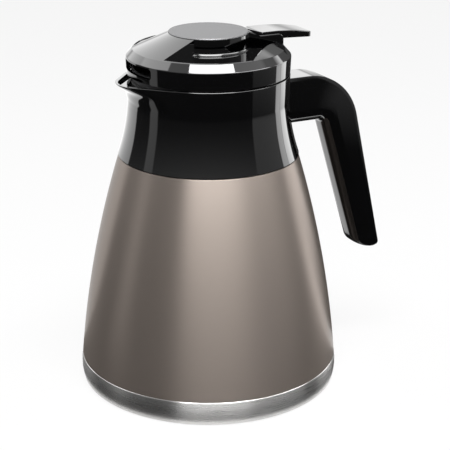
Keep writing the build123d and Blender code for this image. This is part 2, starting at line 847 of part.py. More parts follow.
def make_lid_shell():
    """Gloss lid shell: skirt with the pouring slot, chamfer, finger scoops, hub and lever housing."""
    wall = lid_wall
    inner_hub = hub_radius - wall
    shell = turned_ring((0, skirt_low), (skirt_radius, skirt_low), (lid_radius, chamfer_low),
                        (crown_radius, chamfer_high), (hub_radius, disc_low), (0, disc_low))
    shell += make_housing()
    scoop = make_scoop()
    shell = shell - scoop - mirror(scoop, about=Plane.XZ)
    shell -= turned_ring((0, skirt_low), (skirt_radius - wall, skirt_low), (lid_radius - wall, chamfer_low),
                         (lid_radius - wall, lid_roof), (crown_radius, lid_roof),
                         (hub_radius + wall / 2, scoop_high - wall), (inner_hub, scoop_high - wall),
                         (inner_hub, disc_low), (0, disc_low))
    opening = Pos(0, 0, deck_height) * lever_plan(moving_gap)
    shell -= extrude(opening, disc_height - deck_height)
    shell -= block((inner_hub - wall, housing_back - housing_wall), (-housing_inner, housing_inner),
                   (lid_roof, deck_height))
    shell -= block((housing_back - 2 * housing_wall, 2 * housing_back), (-housing_inner, housing_inner),
                   (pivot_height, disc_height))
    shell -= make_pour_slot()
    for angle in post_angles:
        post = rod(post_radius, stopper_flange_top, lid_roof + wall, x=post_circle)
        screw_end = stopper_flange_low + post_screw_length
        hole = rod(post_screw_radius, stopper_flange_top, screw_end, x=post_circle)
        shell = shell + Rot(0, 0, angle) * post - Rot(0, 0, angle) * hole
    return shell - cross_rod(pin_radius, pin_half_length + seam_gap)


def make_lid_disc():
    """Satin metal disc on the hub, with a bevelled edge and a spigot in the hub."""
    disc = rod(disc_radius, disc_low, disc_height)
    disc = chamfer(disc.edges().group_by(Axis.Z)[-1], disc_edge)
    return disc + rod(hub_radius - lid_wall - seam_gap, disc_low - disc_spigot, disc_low)


def make_lid_floor():
    """Inner floor between the pouring chamber and the lever, with the stem's guide and seal groove."""
    edge = lid_radius - lid_wall - seam_gap
    floor = rod(edge, lid_floor_low, lid_roof) + rod(guide_radius, guide_low, lid_floor_low)
    floor -= rod(stem_radius + running_gap, guide_low, lid_roof)
    floor -= rod(stem_radius + stem_seal_width, lid_floor_low, lid_roof)
    for angle in post_angles:
        floor -= Rot(0, 0, angle) * rod(post_radius + seam_gap, lid_floor_low, lid_roof, x=post_circle)
    return floor


def make_stem_seal():
    """O-ring round the stem, in the lid floor."""
    inner = stem_radius + running_gap
    return rod(stem_radius + stem_seal_width, lid_floor_low, lid_roof) - rod(inner, lid_floor_low, lid_roof)


def make_stopper():
    """Hollow screw plug: valve seat below, seal groove, thread ridges, flange and dam under the lid."""
    low_inner = stopper_low_radius - stopper_wall
    high_inner = stopper_high_radius - stopper_wall
    step_top = stopper_step + stopper_step_rise
    dam = stopper_flange_radius - dam_wall
    stopper = turned_ring(
        (seat_radius, stopper_bottom), (stopper_low_radius - stopper_corner, stopper_bottom),
        (stopper_low_radius, stopper_bottom + stopper_corner),
        (stopper_low_radius, groove_low - groove_flange),
        (groove_flange_radius, groove_low - groove_flange), (groove_flange_radius, groove_low),
        (stopper_low_radius, groove_low), (stopper_low_radius, groove_high),
        (groove_flange_radius, groove_high), (groove_flange_radius, groove_high + groove_flange),
        (stopper_low_radius, groove_high + groove_flange), (stopper_low_radius, stopper_step),
        (stopper_high_radius, step_top), (stopper_high_radius, stopper_flange_low),
        (stopper_flange_radius, stopper_flange_low), (stopper_flange_radius, slot_low), (dam, slot_low),
        (dam, stopper_flange_top), (high_inner, stopper_flange_top), (high_inner, step_top),
        (low_inner, stopper_step), (low_inner, seat_height), (seat_radius, seat_height))
    ridge = thread_ridge(stopper_high_radius - thread_root, stopper_thread_crest,
                         thread_low - moving_gap - thread_height)
    for turn in spaced(thread_starts):
        stopper += turn * ridge
    for angle in post_angles:
        hole = rod(post_screw_radius + running_gap, stopper_flange_low, stopper_flange_top, x=post_circle)
        recess = rod(post_screw_head + running_gap, stopper_flange_low,
                     stopper_flange_low + post_screw_head_height, x=post_circle)
        stopper -= Rot(0, 0, angle) * (hole + recess)
    return stopper


def make_stopper_gasket():
    """Silicone ring with two lips round the stopper, sealing in the steel neck."""
    low = groove_low + running_gap
    top = low + seal_ring_height
    core = stopper_low_radius + running_gap
    lip = mouth_radius - moving_gap
    back = lip - seal_ring_lip
    step = seal_ring_height / 5
    return turned_ring((core, low), (back, low), (lip, low + step), (back, low + 2 * step),
                       (back, low + 3 * step), (lip, low + 4 * step), (back, top), (core, top))


def make_stopper_screws():
    """Screws from below that join the stopper to the posts of the lid shell."""
    head_top = stopper_flange_low + post_screw_head_height
    screw = rod(post_screw_head, stopper_flange_low, head_top, x=post_circle)
    screw += rod(post_screw_radius, head_top, stopper_flange_low + post_screw_length, x=post_circle)
    return Part() + [Rot(0, 0, angle) * screw for angle in post_angles]


def lever_plan(grow=0.0):
    """Plan of the lever's paddle, with a pointed nose towards the disc and rounded corners at its tip."""
    nib, half = lever_apex_half_width + grow, lever_half_width + grow
    apex, shoulder, tip = lever_apex - grow, lever_shoulder - grow, lever_tip + grow
    plan = make_face(Polyline((apex, -nib), (apex, nib), (shoulder, half), (tip, half), (tip, -half),
                              (shoulder, -half), close=True).edges())
    return fillet(plan.vertices().sort_by(Axis.X)[-2:], lever_corner)


def make_lever():
    """Thumb lever: paddle, pivot boss and an arm with a fork under the stem's head."""
    side = Polyline(
        (lever_apex, disc_low - lever_apex_thickness), (lever_apex, disc_low),
        (lever_shoulder, disc_low - lever_crest_drop), (lever_crest, disc_low - lever_crest_drop),
        (lever_bend, disc_low - lever_bend_drop),
        (lever_tip, lever_tip_top), (lever_tip, lever_tip_top - lever_tip_thickness),
        (lever_heel, lever_underside), (lever_shoulder, lever_underside), close=True)
    half, arm = lever_half_width, arm_half_width
    lever = plate(side, half) & extrude(Pos(0, 0, pivot_height) * lever_plan(), disc_height - pivot_height)
    lever += cross_rod(boss_radius, half)
    lever += block((pivot_reach - boss_radius, pivot_reach + boss_radius), (-half, half),
                   (pivot_height, lever_underside))
    lever += block((-arm_overrun, pivot_reach), (-arm, arm), (arm_bottom, arm_bottom + arm_thickness))
    lever += block((pivot_reach - riser_length, pivot_reach), (-arm, arm), (arm_bottom, lever_underside))
    slot = stem_radius + fork_gap
    lever -= block((-arm_overrun, slot), (-slot, slot), (arm_bottom, arm_bottom + arm_thickness))
    return lever - cross_rod(pin_radius + running_gap, half)


def make_lever_pin():
    """Steel pin across the housing, on which the lever turns."""
    return cross_rod(pin_radius, pin_half_length)


def make_valve_stem():
    """Steel rod from the lever's fork down to the valve plug."""
    head_top = stem_head_low + stem_head_height
    return rod(stem_radius, plug_low, stem_head_low) + rod(stem_head_radius, stem_head_low, head_top)


def make_spring_clip():
    """Collar clipped on the stem, under the valve spring."""
    low = spring_low - clip_height
    return rod(clip_radius, low, spring_low) - rod(stem_radius, low, spring_low)


def make_valve_spring():
    """Round-wire compression spring between the stem's clip and the guide."""
    height = guide_low - spring_low - spring_wire
    path = Helix(pitch=height / spring_turns, height=height, radius=spring_radius,
                 center=(0, 0, spring_low + spring_wire / 2))
    start = Plane(origin=path @ 0, z_dir=path % 0)
    return sweep(start * Circle(spring_wire / 2), path=path, is_frenet=True)


def make_valve_plug():
    """Disc on the stem's lower end that closes the stopper."""
    top = plug_low + plug_height
    plug = rod(plug_radius, plug_low, top) + rod(plug_hub_radius, top, top + plug_hub_height)
    return plug - rod(stem_radius, plug_low, top + plug_hub_height)


def make_plug_seal():
    """Silicone ring under the plug, over the stopper's seat."""
    inner = plug_radius - plug_seal_width
    low = plug_low - plug_seal_height
    return rod(plug_radius, low, plug_low) - rod(inner, low, plug_low)


PIECES = {
    "outer_shell": make_outer_shell,
    "base_band": make_base_band,
    "closing_disc": make_closing_disc,
    "vacuum_seal": make_vacuum_seal,
    "getter_disc": make_getter_disc,
    "base_cover": make_base_cover,
    "foot_ring": make_foot_ring,
    "inner_liner": make_inner_liner,
    "collar_gasket": make_collar_gasket,
    "collar": make_collar,
    "clamp_ring": make_clamp_ring,
    "mouth_gasket": make_mouth_gasket,
    "neck_insert": make_neck_insert,
    "insert_screws": make_insert_screws,
    "handle_shell": make_handle_shell,
    "handle_cover": make_handle_cover,
    "cover_screws": make_cover_screws,
    "handle_bracket": make_handle_bracket,
    "bracket_screws": make_bracket_screws,
    "lid_shell": make_lid_shell,
    "lid_disc": make_lid_disc,
    "lid_floor": make_lid_floor,
    "stem_seal": make_stem_seal,
    "stopper": make_stopper,
    "stopper_gasket": make_stopper_gasket,
    "stopper_screws": make_stopper_screws,
    "lever": make_lever,
    "lever_pin": make_lever_pin,
    "valve_stem": make_valve_stem,
    "spring_clip": make_spring_clip,
    "valve_spring": make_valve_spring,
    "valve_plug": make_valve_plug,
    "plug_seal": make_plug_seal,
}

os.makedirs("parts", exist_ok=True)
for name, make in PIECES.items():
    piece = make()
    export_step(piece, f"parts/{name}.step")
    print(f"{name}: {len(piece.solids())} solids, {piece.volume:.0f} mm3")
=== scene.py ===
import json
import math

import bpy
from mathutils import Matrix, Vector


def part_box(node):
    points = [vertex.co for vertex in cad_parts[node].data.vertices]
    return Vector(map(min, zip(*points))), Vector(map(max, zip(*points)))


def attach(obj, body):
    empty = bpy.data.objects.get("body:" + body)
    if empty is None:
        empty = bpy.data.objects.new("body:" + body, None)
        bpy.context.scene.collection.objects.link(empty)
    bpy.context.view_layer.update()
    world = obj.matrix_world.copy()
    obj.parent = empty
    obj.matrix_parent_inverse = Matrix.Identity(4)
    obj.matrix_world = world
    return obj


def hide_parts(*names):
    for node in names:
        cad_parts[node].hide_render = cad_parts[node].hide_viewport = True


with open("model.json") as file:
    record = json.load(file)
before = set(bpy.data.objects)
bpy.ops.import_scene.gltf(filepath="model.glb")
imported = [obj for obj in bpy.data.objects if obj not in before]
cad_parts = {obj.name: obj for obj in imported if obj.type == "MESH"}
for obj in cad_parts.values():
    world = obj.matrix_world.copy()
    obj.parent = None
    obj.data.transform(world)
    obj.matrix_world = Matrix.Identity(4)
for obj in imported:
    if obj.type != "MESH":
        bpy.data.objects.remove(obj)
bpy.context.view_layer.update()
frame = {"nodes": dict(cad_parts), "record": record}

# Camera. A long lens looks down on the carafe from the spout's side, with the handle to the right.
# The axis of the carafe stands a little left of the middle of the picture.
camera_azimuth = math.radians(26)
camera_tilt = math.radians(20.15)
camera_reach = 0.7922
camera_height = 0.3869
camera_data = bpy.data.cameras.new("camera")
camera_data.lens = 110.16
camera_data.sensor_width = 36
camera_data.shift_x = 0.0369
camera = bpy.data.objects.new("camera", camera_data)
bpy.context.scene.collection.objects.link(camera)


def way_out(azimuth, tilt):
    """Direction away from the axis, with azimuths counted from the camera to the right and tilts upwards."""
    turn = azimuth - camera_azimuth
    return Vector((math.sin(turn) * math.cos(tilt), -math.cos(turn) * math.cos(tilt), math.sin(tilt)))


camera.location = way_out(0, 0) * camera_reach + Vector((0, 0, camera_height))
camera.rotation_euler = (-way_out(0, camera_tilt)).to_track_quat("-Z", "Y").to_euler()
bpy.context.scene.camera = camera
bpy.context.scene.view_settings.view_transform = "Standard"


# Studio. A white sweep under and round the carafe, an overhead soft box in front, two side lamps for
# the shades, and dim walls with lit boards and cloths that only the glossy surfaces mirror.
studio_middle = 0.12
lamp_distance = 1.1


def soft_box(name, azimuth, tilt, width, height, power):
    """Rectangular lamp that faces the middle of the carafe."""
    lamp_data = bpy.data.lights.new(name, "AREA")
    lamp_data.shape = "RECTANGLE"
    lamp_data.size = width
    lamp_data.size_y = height
    lamp_data.energy = power
    lamp = bpy.data.objects.new(name, lamp_data)
    bpy.context.scene.collection.objects.link(lamp)
    away = way_out(math.radians(azimuth), math.radians(tilt))
    lamp.location = Vector((0, 0, studio_middle)) + away * lamp_distance
    lamp.rotation_euler = (-away).to_track_quat("-Z", "Y").to_euler()
    return lamp


def seen_directly(tree):
    """Output that is 1 for rays from the camera, off a glossy surface or through a clear one."""
    ray = tree.nodes.new("ShaderNodeLightPath")
    seen = ray.outputs["Is Camera Ray"]
    for kind in ("Is Glossy Ray", "Is Transmission Ray"):
        either = tree.nodes.new("ShaderNodeMath")
        either.operation = "MAXIMUM"
        tree.links.new(seen, either.inputs[0])
        tree.links.new(ray.outputs[kind], either.inputs[1])
        seen = either.outputs[0]
    return seen


soft_box("overhead_box", 10, 70, 0.78, 0.31, 12)
soft_box("left_lamp", -88, 12, 0.5, 1.2, 7).visible_glossy = False
soft_box("right_lamp", 100, 12, 0.5, 1.2, 6).visible_glossy = False

bpy.ops.object.select_all(action="DESELECT")
bpy.ops.mesh.primitive_plane_add(size=12, location=(0, 0, 0))
floor = bpy.context.object
floor.name = "floor"
floor_material = bpy.data.materials.new("floor")
floor_material.use_nodes = True
floor_nodes = floor_material.node_tree.nodes
floor_links = floor_material.node_tree.links
floor_shader = floor_nodes["Principled BSDF"]
floor_shader.inputs["Base Color"].default_value = (0.8, 0.8, 0.8, 1)
floor_shader.inputs["Roughness"].default_value = 0.9
floor_shader.inputs["Specular IOR Level"].default_value = 0.0
floor_glow = floor_nodes.new("ShaderNodeEmission")
floor_glow.inputs["Strength"].default_value = 1.0
floor_mix = floor_nodes.new("ShaderNodeMixShader")
floor_share = floor_nodes.new("ShaderNodeMath")
floor_share.operation = "MULTIPLY"
floor_share.inputs[1].default_value = 0.85
floor_links.new(seen_directly(floor_material.node_tree), floor_share.inputs[0])
floor_links.new(floor_share.outputs[0], floor_mix.inputs[0])
floor_links.new(floor_shader.outputs[0], floor_mix.inputs[1])
floor_links.new(floor_glow.outputs[0], floor_mix.inputs[2])
floor_links.new(floor_mix.outputs[0], floor_nodes["Material Output"].inputs[0])
floor.data.materials.append(floor_material)

world = bpy.data.worlds.new("studio")
bpy.context.scene.world = world
world.use_nodes = True
world_nodes = world.node_tree.nodes
world_links = world.node_tree.links
world_dim = world_nodes["Background"]
world_dim.inputs["Strength"].default_value = 0.35
world_white = world_nodes.new("ShaderNodeBackground")
world_white.inputs["Strength"].default_value = 1.1
for background in (world_dim, world_white):
    background.inputs["Color"].default_value = (1, 1, 1, 1)
world_mix = world_nodes.new("ShaderNodeMixShader")
world_links.new(seen_directly(world.node_tree), world_mix.inputs[0])
world_links.new(world_dim.outputs[0], world_mix.inputs[1])
world_links.new(world_white.outputs[0], world_mix.inputs[2])
world_links.new(world_mix.outputs[0], world_nodes["World Output"].inputs[0])

wall_radius, wall_height, floor_gap = 2.2, 3.6, 0.082
wall_lift = 0.001
board_side_blur, board_end_blur = 1.5, 5
dark_tilt, light_tilt = -18, 40
dark_level, light_level = 0.03, 0.8
bpy.ops.object.select_all(action="DESELECT")
bpy.ops.mesh.primitive_cylinder_add(vertices=96, radius=wall_radius, depth=wall_height, end_fill_type="NGON",
                                    location=(0, 0, wall_height / 2 + wall_lift))
walls = bpy.context.object
walls.name = "studio_walls"
bpy.ops.object.transform_apply(location=True, rotation=False, scale=False)
bpy.ops.object.mode_set(mode="EDIT")
bpy.ops.mesh.select_mode(type="FACE")
bpy.ops.mesh.select_all(action="DESELECT")
bpy.ops.object.mode_set(mode="OBJECT")
for face in walls.data.polygons:
    face.select = face.center.z < 2 * wall_lift
bpy.ops.object.mode_set(mode="EDIT")
bpy.ops.mesh.inset(thickness=wall_radius - floor_gap)
bpy.ops.mesh.delete(type="FACE")
bpy.ops.object.mode_set(mode="OBJECT")
walls_material = bpy.data.materials.new("studio_walls")
walls_material.use_nodes = True
walls_nodes = walls_material.node_tree.nodes
walls_links = walls_material.node_tree.links
walls_nodes.remove(walls_nodes["Principled BSDF"])


def wall_math(operation, first, second=None):
    """Output of a Math node in the walls' material, fed by sockets or plain numbers."""
    node = walls_nodes.new("ShaderNodeMath")
    node.operation = operation
    for socket, value in zip(node.inputs, (first, second)):
        if isinstance(value, bpy.types.NodeSocket):
            walls_links.new(value, socket)
        elif value is not None:
            socket.default_value = value
    return node.outputs[0]


walls_place = walls_nodes.new("ShaderNodeTexCoord")
walls_turn = walls_nodes.new("ShaderNodeMapping")
walls_turn.inputs["Rotation"].default_value = (0, 0, camera_azimuth)
walls_split = walls_nodes.new("ShaderNodeSeparateXYZ")
walls_links.new(walls_place.outputs["Object"], walls_turn.inputs["Vector"])
walls_links.new(walls_turn.outputs["Vector"], walls_split.inputs["Vector"])
wall_across, wall_along, wall_up = walls_split.outputs
wall_azimuth = wall_math("ARCTAN2", wall_across, wall_math("MULTIPLY", wall_along, -1.0))
wall_azimuth = wall_math("DEGREES", wall_azimuth)
wall_squares = [wall_math("MULTIPLY", side, side) for side in (wall_across, wall_along)]
wall_reach = wall_math("SQRT", wall_math("ADD", *wall_squares))
wall_tilt = wall_math("ARCTAN2", wall_math("SUBTRACT", wall_up, studio_middle), wall_reach)
wall_tilt = wall_math("DEGREES", wall_tilt)


def wall_share(value, low, high):
    """Share from 0 to 1 that a value has reached between two others, with soft ends."""
    node = walls_nodes.new("ShaderNodeMapRange")
    node.interpolation_type = "SMOOTHSTEP"
    node.inputs["From Min"].default_value = low
    node.inputs["From Max"].default_value = high
    walls_links.new(value, node.inputs["Value"])
    return node.outputs["Result"]


def wall_board(level, left, right, low, high, strength):
    """Lays a lit board over the walls, between two azimuths and two tilts."""
    off_middle = wall_math("SUBTRACT", wall_azimuth, (left + right) / 2 - 180)
    off_middle = wall_math("SUBTRACT", wall_math("FLOORED_MODULO", off_middle, 360), 180)
    within_sides = wall_math("SUBTRACT", (right - left) / 2, wall_math("ABSOLUTE", off_middle))
    off_tilt = wall_math("ABSOLUTE", wall_math("SUBTRACT", wall_tilt, (low + high) / 2))
    within_ends = wall_math("SUBTRACT", (high - low) / 2, off_tilt)
    side_share = wall_share(within_sides, -board_side_blur, board_side_blur)
    end_share = wall_share(within_ends, -board_end_blur, board_end_blur)
    shown = wall_math("MULTIPLY", side_share, end_share)
    return wall_math("MAXIMUM", level, wall_math("MULTIPLY", shown, strength))


wall_rise = wall_math("DIVIDE", wall_math("SUBTRACT", wall_tilt, dark_tilt), light_tilt - dark_tilt)
wall_rise = wall_math("MINIMUM", wall_math("MAXIMUM", wall_rise, 0), 1)
wall_level = wall_math("MULTIPLY", wall_math("MULTIPLY", wall_rise, wall_rise), light_level - dark_level)
wall_level = wall_math("ADD", wall_level, dark_level)
studio_boards = {
    "back_cloth": (171, 243, -80, 10, 1.5), "back_cloth_upper": (172, 243, 10, 90, 2.5),
    "left_cloth_upper": (205, 277, 30, 62, 3.3), "left_strip": (-87, -73, -30, 30, 0.6),
    "front_box": (-29, 50, 26, 66, 10.5), "front_box_wing": (50, 102, 27, 41, 10.5),
    "right_board": (62, 105, -10, 27, 0.4), "right_board_upper": (56, 112, 41, 70, 1.4),
    "right_box_near": (106, 118, -80, 30, 2.5), "right_box_far": (118, 134, -12, 30, 3.8),
    "rear_strip": (156, 172, 32, 60, 1.8)}
for left, right, low, high, strength in studio_boards.values():
    wall_level = wall_board(wall_level, left, right, low, high, strength)
walls_glow = walls_nodes.new("ShaderNodeEmission")
walls_links.new(wall_level, walls_glow.inputs["Strength"])
walls_links.new(walls_glow.outputs[0], walls_nodes["Material Output"].inputs["Surface"])
walls.data.materials.append(walls_material)
walls.visible_camera = False
walls.visible_diffuse = False
walls.visible_shadow = False
walls.visible_transmission = False


# Body wall. Drawn steel with a warm taupe metallic lacquer: a barrel side that narrows to the shoulder,
# a step in for the foot band, and a bare neck inside the collar.
def select_only(piece):
    """Makes a piece the one that is selected and active."""
    bpy.ops.object.select_all(action="DESELECT")
    piece.select_set(True)
    bpy.context.view_layer.objects.active = piece


def apply_modifier(piece, modifier):
    """Applies a modifier to the mesh of its piece."""
    select_only(piece)
    bpy.ops.object.modifier_apply(modifier=modifier.name)


def draw_outline(name, points, upright=True, filled=False):
    """New object with a closed outline through points, in the XZ plane or flat in the XY plane."""
    bpy.ops.object.select_all(action="DESELECT")
    fill_type = "NGON" if filled else "NOTHING"
    bpy.ops.mesh.primitive_circle_add(vertices=len(points), radius=0.01, fill_type=fill_type)
    piece = bpy.context.object
    piece.name = name
    piece.data.name = name
    for vertex, (across, up) in zip(piece.data.vertices, points):
        vertex.co = (across, 0, up) if upright else (across, up, 0)
    return piece


def turned(name, points, steps=192):
    """Closed wall turned about the axis of the carafe from an outline of radius and height."""
    piece = draw_outline(name, points)
    bpy.ops.object.mode_set(mode="EDIT")
    bpy.ops.mesh.select_all(action="SELECT")
    bpy.ops.mesh.spin(steps=steps, angle=2 * math.pi, center=(0, 0, 0), axis=(0, 0, 1))
    bpy.ops.mesh.select_all(action="SELECT")
    bpy.ops.mesh.remove_doubles(threshold=1e-6)
    bpy.ops.mesh.normals_make_consistent(inside=False)
    bpy.ops.object.mode_set(mode="OBJECT")
    return piece


def softened(corners, steps=4):
    """Closed outline in which each corner (x, y, rounding) becomes a small arc."""
    points = []
    for index, (x, y, rounding) in enumerate(corners):
        here = Vector((x, y))
        if rounding == 0:
            points.append(here)
            continue
        before = (Vector(corners[index - 1][:2]) - here).normalized()
        after = (Vector(corners[(index + 1) % len(corners)][:2]) - here).normalized()
        half = before.angle(after) / 2
        centre = here + (before + after).normalized() * rounding / math.sin(half)
        start = (here + before * rounding / math.tan(half) - centre).normalized()
        end = (here + after * rounding / math.tan(half) - centre).normalized()
        points += [centre + start.slerp(end, step / steps) * rounding for step in range(steps + 1)]
    return points


def circle_arc(first, middle, last, count):
    """Points on the circle through three points, from the first to the last, ends included."""
    (ax, ay), (bx, by), (cx, cy) = first, middle, last
    area = 2 * (ax * (by - cy) + bx * (cy - ay) + cx * (ay - by))
    a, b, c = (x * x + y * y for x, y in (first, middle, last))
    centre = Vector(((a * (by - cy) + b * (cy - ay) + c * (ay - by)) / area,
                     (a * (cx - bx) + b * (ax - cx) + c * (bx - ax)) / area))
    start, end = Vector(first) - centre, Vector(last) - centre
    radius = start.length
    ways = [start.normalized().slerp(end.normalized(), step / count) for step in range(count + 1)]
    return [centre + way * radius for way in ways]


def new_material(name, colour, metallic, roughness):
    """Principled material with its plain values set on the shader's own sockets."""
    material = bpy.data.materials.new(name)
    material.use_nodes = True
    shader = material.node_tree.nodes["Principled BSDF"]
    shader.inputs["Base Color"].default_value = (*colour, 1)
    shader.inputs["Metallic"].default_value = metallic
    shader.inputs["Roughness"].default_value = roughness
    return material, material.node_tree, shader


def finish_piece(piece, material, smooth_angle=30):
    """One material, and smooth shading up to an angle that leaves large faces flat."""
    piece.data.materials.clear()
    piece.data.materials.append(material)
    select_only(piece)
    bpy.ops.object.shade_smooth_by_angle(angle=math.radians(smooth_angle))
    modifier = piece.modifiers.new("flat_faces", "WEIGHTED_NORMAL")
    modifier.keep_sharp = True
    apply_modifier(piece, modifier)


fine_grain = bpy.data.node_groups.new("fine_grain", "ShaderNodeTree")
for socket_name, in_out, kind in (
        ("Scale", "INPUT", "NodeSocketFloat"), ("Stretch", "INPUT", "NodeSocketVector"),
        ("Low", "INPUT", "NodeSocketFloat"), ("High", "INPUT", "NodeSocketFloat"),
        ("Value", "OUTPUT", "NodeSocketFloat")):
    fine_grain.interface.new_socket(name=socket_name, in_out=in_out, socket_type=kind)
grain_in = fine_grain.nodes.new("NodeGroupInput")
grain_out = fine_grain.nodes.new("NodeGroupOutput")
grain_place = fine_grain.nodes.new("ShaderNodeTexCoord")
grain_stretch = fine_grain.nodes.new("ShaderNodeVectorMath")
grain_stretch.operation = "MULTIPLY"
grain_noise = fine_grain.nodes.new("ShaderNodeTexNoise")
grain_noise.inputs["Detail"].default_value = 3.0
grain_range = fine_grain.nodes.new("ShaderNodeMapRange")
fine_grain.links.new(grain_place.outputs["Object"], grain_stretch.inputs[0])
fine_grain.links.new(grain_in.outputs["Stretch"], grain_stretch.inputs[1])
fine_grain.links.new(grain_stretch.outputs[0], grain_noise.inputs["Vector"])
fine_grain.links.new(grain_in.outputs["Scale"], grain_noise.inputs["Scale"])
fine_grain.links.new(grain_noise.outputs[0], grain_range.inputs["Value"])
fine_grain.links.new(grain_in.outputs["Low"], grain_range.inputs["To Min"])
fine_grain.links.new(grain_in.outputs["High"], grain_range.inputs["To Max"])
fine_grain.links.new(grain_range.outputs[0], grain_out.inputs["Value"])


def grain(tree, scale, low, high, stretch=(1, 1, 1)):
    """Output of a fine grain node placed in a material."""
    node = tree.nodes.new("ShaderNodeGroup")
    node.node_tree = fine_grain
    node.inputs["Scale"].default_value = scale
    node.inputs["Stretch"].default_value = stretch
    node.inputs["Low"].default_value = low
    node.inputs["High"].default_value = high
    return node.outputs["Value"]


def brushed_round(tree, shader, strength):
    """Sheen of a finish brushed round the axis: reflections spread up and down and stay narrow sideways."""
    tangent = tree.nodes.new("ShaderNodeTangent")
    tangent.direction_type = "RADIAL"
    tangent.axis = "Z"
    tree.links.new(tangent.outputs["Tangent"], shader.inputs["Tangent"])
    shader.inputs["Anisotropic"].default_value = strength
    shader.inputs["Anisotropic Rotation"].default_value = 0.25


wall_gauge = 0.001
wall_step = 0.01525
shoulder_radius = 0.0542
neck_radius, neck_low, neck_high = 0.039, 0.151, 0.167
foot_radius, foot_low = 0.07795, 0.00165
wall_side = circle_arc((0.079, wall_step), (0.0699, 0.079), (shoulder_radius, 0.1422), 56)
wall_inside = [point - Vector((wall_gauge, 0)) for point in reversed(wall_side[1:-1])]
wall_top = softened([
    (shoulder_radius, 0.1415, 0), (0.0541, 0.1429, 0.0005), (0.050, 0.1429, 0), (0.0445, neck_low, 0)])
body_wall = turned("body_wall", [
    *wall_side, *wall_top[1:], (neck_radius, neck_low), (neck_radius, neck_high),
    (neck_radius - wall_gauge, neck_high), (neck_radius - wall_gauge, neck_low - wall_gauge),
    (0.0435, neck_low - wall_gauge), (0.0493, 0.1419), *wall_inside,
    (foot_radius - wall_gauge, wall_step + wall_gauge), (foot_radius - wall_gauge, foot_low),
    (foot_radius, foot_low), (foot_radius, wall_step)], steps=256)
lacquer, lacquer_tree, lacquer_shader = new_material("taupe_lacquer", (0.22, 0.188, 0.166), 0.75, 0.36)
lacquer_shader.inputs["Specular Tint"].default_value = (0.5, 0.5, 0.5, 1)
brushed_round(lacquer_tree, lacquer_shader, 0.8)
lacquer_tree.links.new(grain(lacquer_tree, 2600, 0.35, 0.41), lacquer_shader.inputs["Roughness"])
finish_piece(body_wall, lacquer)
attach(body_wall, "carafe")
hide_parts("outer_shell")

# Foot band. A strip of stainless steel brushed round the foot, rolled under at its lower edge
# and set a hair proud of the lacquered wall above it.
band_low, band_high = (corner.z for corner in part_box("base_band"))
band_side = circle_arc((0.0785, band_low + 0.0006), (0.0794, 0.006), (0.0791, band_high - 0.0003), 12)
foot_band = turned("foot_band", [
    *band_side, (0.0788, band_high), (0.078, band_high), (0.078, band_low + 0.001), (0.076, band_low + 0.001),
    (0.076, band_low), (0.0779, band_low)], steps=256)
steel, steel_tree, steel_shader = new_material("brushed_steel", (0.62, 0.61, 0.60), 1.0, 0.36)
brushed_round(steel_tree, steel_shader, 1.0)
steel_tree.links.new(grain(steel_tree, 60, 0.25, 0.31, stretch=(1, 1, 60)), steel_shader.inputs["Roughness"])
finish_piece(foot_band, steel)
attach(foot_band, "carafe")
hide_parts("base_band")

# Collar seal. A thin dark rubber ring that shows as a line between the lacquered wall and the collar.
seal_low, seal_high = (corner.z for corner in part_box("collar_gasket"))
collar_seal = turned("collar_seal", softened([
    (0.050, seal_low, 0), (0.0528, seal_low, 0.0002), (0.0528, seal_high, 0.0002), (0.050, seal_high, 0)]))
rubber, rubber_tree, rubber_shader = new_material("black_rubber", (0.02, 0.02, 0.02), 0.0, 0.7)
rubber_tree.links.new(grain(rubber_tree, 900, 0.6, 0.8), rubber_shader.inputs["Roughness"])
finish_piece(collar_seal, rubber)
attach(collar_seal, "carafe")
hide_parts("collar_gasket")

# Collar. Gloss black moulding pressed over the neck: it flares to the body below, and at the top
# its wall is drawn out into a beak with a thin lip and a shallow trough.
rim_height = 0.1919
rim_radius = 0.0483
collar_foot = 0.1437
bore_radius = 0.0459
trough_floor = 0.1894
waist_radius, waist_height = 0.0479, 0.175
rim_growth, rim_edge = 0.0004, 0.0007
collar_wall = 0.0024
spout_keel = (
    (0.0, 0.058), (0.0018, 0.0573), (0.0039, 0.0546), (0.006, 0.0516), (0.0086, 0.0497), (0.014, 0.04795))
spout_root = math.radians(40.8)
spout_lip = 0.0015
spout_drop, drop_start, drop_length = 0.0009, 0.029, 0.0305
flare = circle_arc((shoulder_radius, collar_foot), (0.05025, 0.158), (waist_radius, waist_height), 28)
upper_steps = 18
upper_rise = rim_height - rim_edge - waist_height
upper = []
for step in range(1, upper_steps + 1):
    upper_radius = waist_radius + rim_growth * step / upper_steps
    upper.append(Vector((upper_radius, waist_height + upper_rise * step / upper_steps)))
rim = softened([(rim_radius, 0.19, 0), (rim_radius, rim_height, 0.0004), (bore_radius, rim_height, 0.0003),
                (bore_radius, trough_floor, 0)])
inner_flare = [point - Vector((collar_wall, 0)) for point in reversed(flare) if point.y > 0.1545]
collar = turned("collar_body", [
    *flare, *upper, *rim[1:], (bore_radius, trough_floor - 0.00001), (bore_radius, 0.187), (0.0419, 0.187),
    (0.0419, 0.1845), (bore_radius, 0.1845), *inner_flare, (0.0486, 0.1535), (0.03905, 0.1535),
    (0.03905, neck_low), (0.0494, neck_low), (0.0518, collar_foot)], steps=360)


def plan_radius(turn, root, reach):
    """Reach of the spout's plan at an angle from its middle: a tangent to the collar, then a round nose."""
    nose = (root / math.cos(spout_root) - reach) / (1 / math.cos(spout_root) - 1)
    offset = reach - nose
    join = math.atan2(nose * math.sin(spout_root), offset + nose * math.cos(spout_root))
    if abs(turn) >= spout_root:
        return root
    if abs(turn) >= join:
        return root / math.cos(spout_root - abs(turn))
    return offset * math.cos(turn) + math.sqrt(nose**2 - (offset * math.sin(turn)) ** 2)


